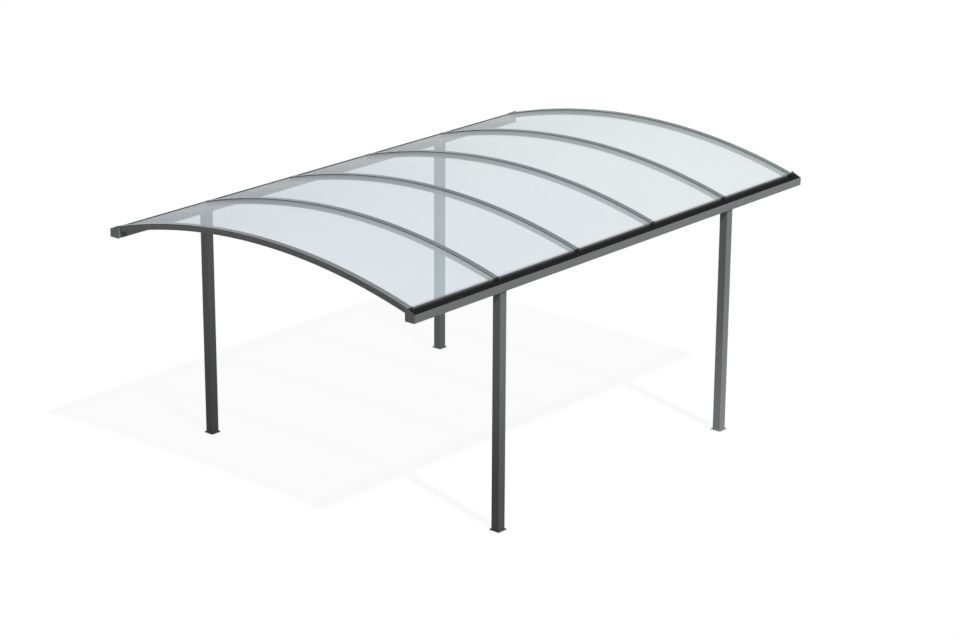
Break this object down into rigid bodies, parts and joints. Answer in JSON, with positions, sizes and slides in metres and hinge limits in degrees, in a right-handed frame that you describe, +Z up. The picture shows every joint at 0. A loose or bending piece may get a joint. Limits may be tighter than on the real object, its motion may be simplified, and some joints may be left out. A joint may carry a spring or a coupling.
{
  "type": "carport",
  "caption": "Open carport with an arched roof of clear sheets on rolled rafters between eaves gutters, carried by square posts on bolted foot plates.",
  "frame": {"origin": "on the ground, below the middle of the roof", "axes": "+X across the roof to the right-hand gutter, +Y along the roof to the back, +Z up"},
  "size_m": [3.339, 5.02, 2.3169],
  "materials": {
    "frame_coat": "satin anthracite powder coat on aluminium extrusion",
    "foot_coat": "satin anthracite powder coat on welded steel",
    "clear_sheet": "clear polycarbonate sheet with a faint cool tint",
    "black_rubber": "matt black glazing rubber",
    "black_plastic": "matt black moulded plastic"
  },
  "bodies": {
    "root": {"front_left_post": "frame_coat", "front_left_foot": "foot_coat", "front_left_end_cap": "frame_coat", "front_right_post": "frame_coat", "front_right_foot": "foot_coat", "front_right_end_cap": "frame_coat", "back_left_post": "frame_coat", "back_left_foot": "foot_coat", "back_left_end_cap": "frame_coat", "back_right_post": "frame_coat", "back_right_foot": "foot_coat", "back_right_end_cap": "frame_coat", "post_heads": "frame_coat", "left_gutter": "frame_coat", "left_gutter_seal": "black_rubber", "left_cap_plugs": "black_plastic", "right_gutter": "frame_coat", "right_gutter_seal": "black_rubber", "right_cap_plugs": "black_plastic", "rafter_1": "frame_coat", "cap_strip_1": "frame_coat", "rafter_2": "frame_coat", "cap_strip_2": "frame_coat", "rafter_3": "frame_coat", "cap_strip_3": "frame_coat", "rafter_4": "frame_coat", "cap_strip_4": "frame_coat", "rafter_5": "frame_coat", "cap_strip_5": "frame_coat", "rafter_6": "frame_coat", "cap_strip_6": "frame_coat", "roof_sheet_1": "clear_sheet", "roof_sheet_2": "clear_sheet", "roof_sheet_3": "clear_sheet", "roof_sheet_4": "clear_sheet", "roof_sheet_5": "clear_sheet", "cap_gaskets": "black_rubber"}
  },
  "joints": []
}
